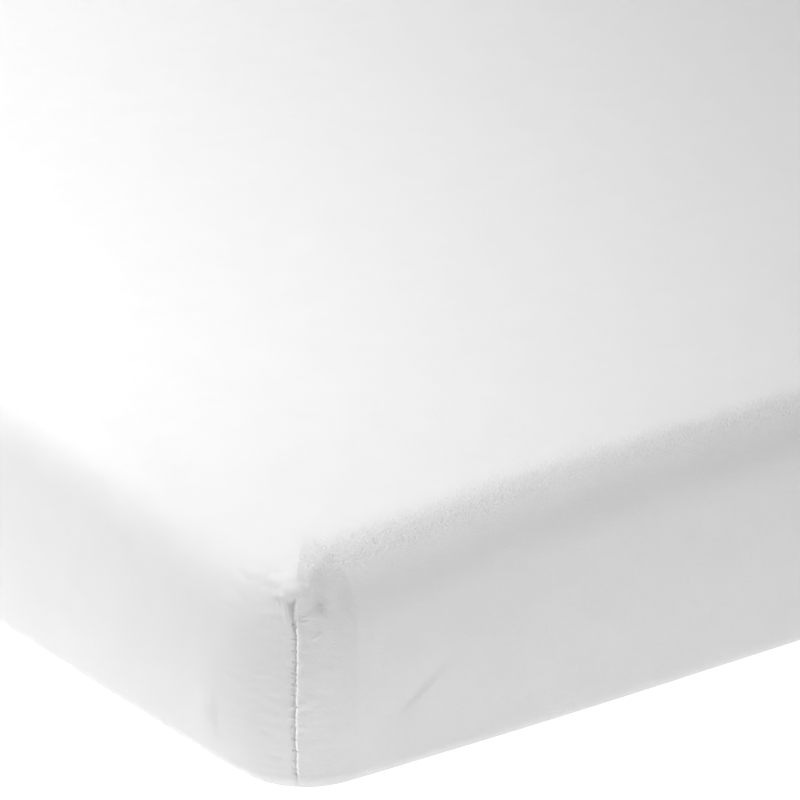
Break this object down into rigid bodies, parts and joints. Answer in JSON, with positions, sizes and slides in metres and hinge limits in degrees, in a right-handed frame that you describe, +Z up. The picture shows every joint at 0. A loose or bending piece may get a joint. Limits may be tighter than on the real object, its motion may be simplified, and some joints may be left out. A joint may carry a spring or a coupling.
{
  "type": "fitted sheet on a cot mattress",
  "caption": "White fitted jersey sheet with sewn corner seams, stretched over the cot mattress that it covers and protects.",
  "frame": {"origin": "on the floor, under the middle of the mattress", "axes": "+Z up, +Y along the long sides, +X along the short ends; the corner nearest the camera in the picture is at -X and -Y"},
  "size_m": [0.7, 1.4, 0.1129],
  "materials": {
    "jersey_cloth": "matt white cotton jersey, a fine even knit",
    "mattress_cover": "matt off-white cotton cover"
  },
  "bodies": {
    "root": {"sheet": "jersey_cloth", "mattress": "mattress_cover"}
  },
  "joints": []
}
